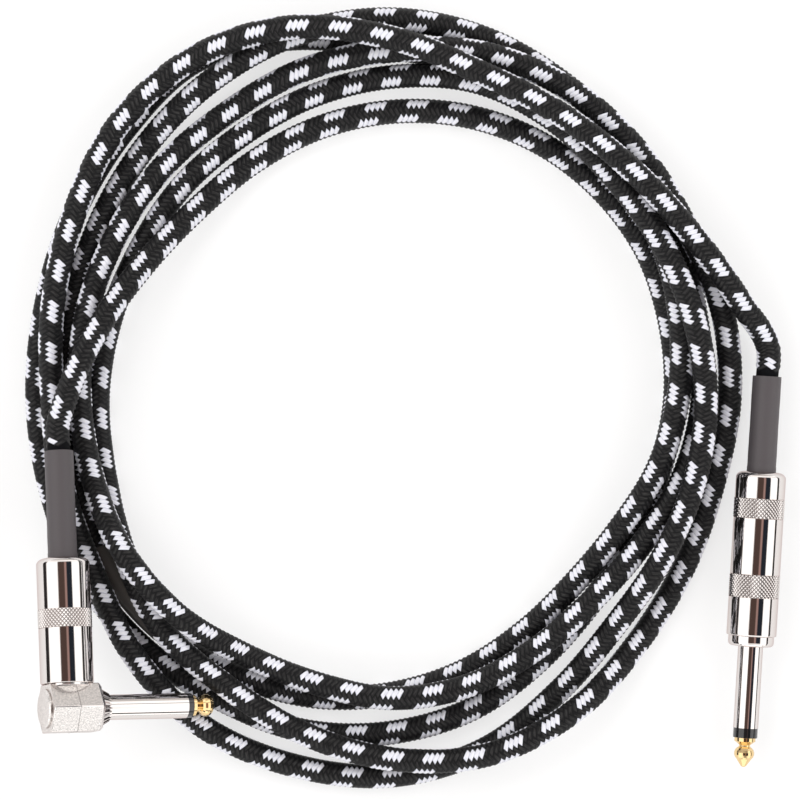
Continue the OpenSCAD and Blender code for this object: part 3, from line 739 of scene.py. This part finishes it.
def round_tube(name, s, radius, sides, mat):
    """The cord's plain jacket, with both ends closed."""
    points = tube_points(s, np.linspace(0, 2 * math.pi, sides, endpoint=False), radius)
    points = np.where(on_loops(s)[:, None, None], pressed(points), points)
    faces = grid_faces(len(s), sides).tolist()
    faces += [list(range(sides))[::-1], [(len(s) - 1) * sides + k for k in range(sides)]]
    return piece(name, points.reshape(-1, 3), faces, mat)


RINGS = 1400
cord = round_tube("cord", np.linspace(0, line.length, RINGS), JACKET_R, 18, JACKET)
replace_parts(cord, "cable_coil")
fine = 5
white = stitches("white_stitches", 1, 0, range(WHITE_RUN), fine, fine, WHITE_YARN)
black_one = stitches("black_stitches_with", 1, 0, range(WHITE_RUN, CARRIERS), 3, 5, BLACK_YARN)
black_other = stitches("black_stitches_against", -1, 45, range(CARRIERS), 3, 5, BLACK_YARN)

# ---------------------------------------------------------------- the marker sleeve

MARKER_AT, MARKER_LEN = 86.8, 27        # where it starts, in points of the route
MARKER_R, MARKER_BORE = 3.45, 3.25


def plain_sleeve(rings=40, sides=32):
    """The sleeve's outside, then its inside on the way back, closed at both ends."""
    s = line.s[int(round(MARKER_AT * STEPS))] + np.linspace(0, MARKER_LEN, rings)
    around = np.linspace(0, 2 * math.pi, sides, endpoint=False)
    points = np.concatenate([tube_points(s, around, MARKER_R),
                             tube_points(s[::-1], around, MARKER_BORE)]).reshape(-1, 3)
    last = (2 * rings - 1) * sides
    faces = grid_faces(2 * rings, sides).tolist()
    faces += [[last + k, last + (k + 1) % sides, (k + 1) % sides, k] for k in range(sides)]
    return piece("plain_sleeve", points, faces, MARKER)


marker = plain_sleeve()
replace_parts(marker, "marker_sleeve")

# ---------------------------------------------------------------- floor, light and backdrop

FLOOR_HALF, FLOOR_Z = 1.5, -0.0001      # metres
FLOOR_GLOW = 0.68       # how much of the floor's white is its own, so its shadows stay soft
BANK = 1.6              # the strength of the studio's bright banks
WHITE, DARK, BROWN = (1, 0.99, 0.98), (0.02, 0.018, 0.018), (0.06, 0.038, 0.032)
PINK, NIGHT, GREY = (0.27, 0.17, 0.15), (0.013, 0.016, 0.022), (0.3, 0.28, 0.27)
FAR_END = (0.46, 0.435, 0.42)
# Bright banks left and right of a dark ceiling: [degrees from straight up towards +X, colour]
BANDS = [(-90, DARK), (-74, DARK), (-69, WHITE), (-22, WHITE), (-17, BROWN), (8, BROWN),
         (12, PINK), (17, PINK), (21, NIGHT), (41, NIGHT), (45, WHITE), (77, WHITE), (81, DARK)]
# Past the banks' ends, where |y| passes BANKS_END: [0 at -Y to 1 at +Y, colour]
ENDS = [(0, WHITE), (0.08, WHITE), (0.09, DARK), (0.13, DARK), (0.14, WHITE), (0.7, WHITE),
        (0.72, GREY), (0.75, GREY), (0.78, WHITE), (0.87, WHITE), (0.9, FAR_END)]
BANKS_END = (0.34, 0.5)
HORIZON = (-0.02, 0.06)
LIT = Vector((0, 0.04, 0))              # where both lamps point


def floor_material():
    """White cloth, which glows a little wherever it is seen but lights nothing by that."""
    m, tree, shader = material("floor", (0.97, 0.97, 0.97), roughness=0.9, specular=0.0)
    bump(tree, shader, noise(tree, object_coordinates(tree), 800), 0.02, 0.0001)
    rays = tree.nodes.new("ShaderNodeLightPath").outputs
    seen = maths(tree, "MAXIMUM", rays["Is Camera Ray"],
                 maths(tree, "MAXIMUM", rays["Is Glossy Ray"], rays["Is Transmission Ray"]))
    glow = tree.nodes.new("ShaderNodeEmission")
    glow.inputs["Color"].default_value = (1, 1, 1, 1)
    glow.inputs["Strength"].default_value = 1.0
    mix_shaders(tree, maths(tree, "MULTIPLY", seen, FLOOR_GLOW), shader.outputs[0],
                glow.outputs[0], tree.nodes["Material Output"])
    return m


def mix_shaders(tree, factor, low, high, output):
    mix = tree.nodes.new("ShaderNodeMixShader")
    for socket, value in zip(mix.inputs, (factor, low, high)):
        tree.links.new(value, socket)
    tree.links.new(mix.outputs[0], output.inputs["Surface"])


def mix_colour(tree, factor, low, high):
    node = tree.nodes.new("ShaderNodeMixRGB")
    tree.links.new(factor, node.inputs["Fac"])
    for socket, value in ((node.inputs["Color1"], low), (node.inputs["Color2"], high)):
        if isinstance(value, tuple):
            socket.default_value = (*value, 1)
        else:
            tree.links.new(value, socket)
    return node.outputs["Color"]


def backdrop(tree, strength):
    node = tree.nodes.new("ShaderNodeBackground")
    node.inputs["Color"].default_value = (1, 1, 1, 1)
    node.inputs["Strength"].default_value = strength
    return node


def studio_world():
    """The studio that lights the cable and shows in its metal. The camera sees plain white."""
    world = bpy.data.worlds.new("studio")
    world.use_nodes = True
    tree = world.node_tree
    tree.nodes.clear()
    way = tree.nodes.new("ShaderNodeTexCoord")
    split = tree.nodes.new("ShaderNodeSeparateXYZ")
    tree.links.new(way.outputs["Generated"], split.inputs[0])
    x, y, z = split.outputs
    turn = maths(tree, "DIVIDE", maths(tree, "ARCTAN2", x, z), math.radians(180))
    sides = ramp(tree, maths(tree, "ADD", turn, 0.5), [((a + 90) / 180, c) for a, c in BANDS])
    ends = ramp(tree, maths(tree, "ADD", maths(tree, "MULTIPLY", y, 0.5), 0.5), ENDS)
    past = step(tree, maths(tree, "ABSOLUTE", y), *BANKS_END)
    sky = mix_colour(tree, past, sides, ends)
    sky = mix_colour(tree, step(tree, z, *HORIZON), DARK, sky)
    studio = backdrop(tree, BANK)
    tree.links.new(sky, studio.inputs["Color"])
    camera_ray = tree.nodes.new("ShaderNodeLightPath").outputs["Is Camera Ray"]
    mix_shaders(tree, camera_ray, studio.outputs[0], backdrop(tree, 1.0).outputs[0],
                tree.nodes.new("ShaderNodeOutputWorld"))
    scene.world = world


def lay_floor():
    h, z = FLOOR_HALF, FLOOR_Z
    mesh = bpy.data.meshes.new("floor")
    mesh.from_pydata([(-h, -h, z), (h, -h, z), (h, h, z), (-h, h, z)], [], [(0, 1, 2, 3)])
    mesh.materials.append(floor_material())
    obj = bpy.data.objects.new("floor", mesh)
    scene.collection.objects.link(obj)


def area_light(name, at, size, watts):
    """A square lamp over the coil. It doesn't show in the metal."""
    data = bpy.data.lights.new(name, "AREA")
    data.size = size
    data.energy = watts
    obj = bpy.data.objects.new(name, data)
    scene.collection.objects.link(obj)
    obj.location = at
    obj.rotation_euler = (LIT - Vector(at)).to_track_quat("-Z", "Y").to_euler()
    obj.visible_glossy = False


lay_floor()
studio_world()
area_light("key", (-0.7, 0.5, 0.9), 0.7, 4)
area_light("fill", (0.8, 0.2, 0.8), 0.6, 3)
